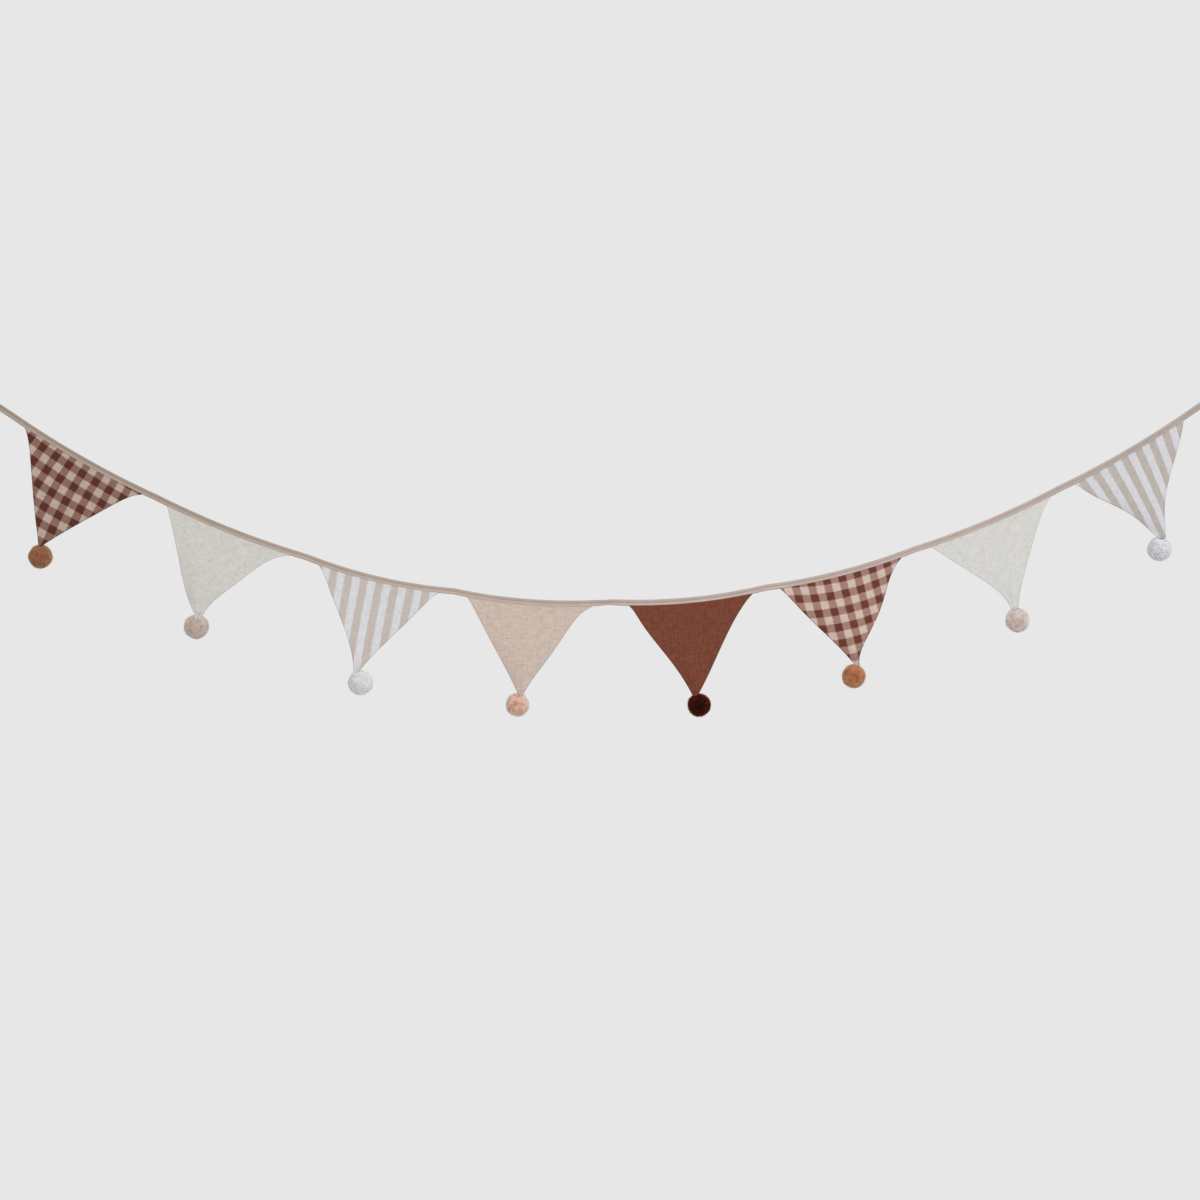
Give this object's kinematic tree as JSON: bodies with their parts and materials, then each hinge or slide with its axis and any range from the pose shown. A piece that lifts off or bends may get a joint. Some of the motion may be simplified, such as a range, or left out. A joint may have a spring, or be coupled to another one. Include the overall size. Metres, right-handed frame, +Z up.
{
  "type": "fabric bunting",
  "caption": "String of two-layer cloth pennants that hangs in a swag from a folded binding, with a yarn pompom on each point.",
  "frame": {"origin": "the middle of the binding's left end, where the bunting is held up", "axes": "+X along the bunting towards its right end, +Z up, and the front of the pennants faces -Y"},
  "size_m": [2.0058, 0.0447, 0.5276],
  "materials": {
    "bias_binding": "plain-woven cotton tape, taupe, matt",
    "brown_gingham": "brown and cream gingham, matt",
    "cream_linen": "cream linen, matt",
    "striped_cotton": "beige and white stripes, matt",
    "sand_linen": "sand linen, matt",
    "rust_linen": "rust linen, matt",
    "camel_yarn": "cut yarn, soft",
    "mauve_yarn": "cut yarn, soft",
    "white_yarn": "cut yarn, soft",
    "peach_yarn": "cut yarn, soft",
    "maroon_yarn": "cut yarn, soft"
  },
  "bodies": {
    "root": {"binding": "bias_binding", "pennant_1": "brown_gingham", "pennant_2": "cream_linen", "pennant_3": "striped_cotton", "pennant_4": "sand_linen", "pennant_5": "rust_linen", "pennant_6": "brown_gingham", "pennant_7": "cream_linen", "pennant_8": "striped_cotton", "pompom_1": "camel_yarn", "pompom_2": "mauve_yarn", "pompom_3": "white_yarn", "pompom_4": "peach_yarn", "pompom_5": "maroon_yarn", "pompom_6": "camel_yarn", "pompom_7": "mauve_yarn", "pompom_8": "white_yarn"}
  },
  "joints": []
}
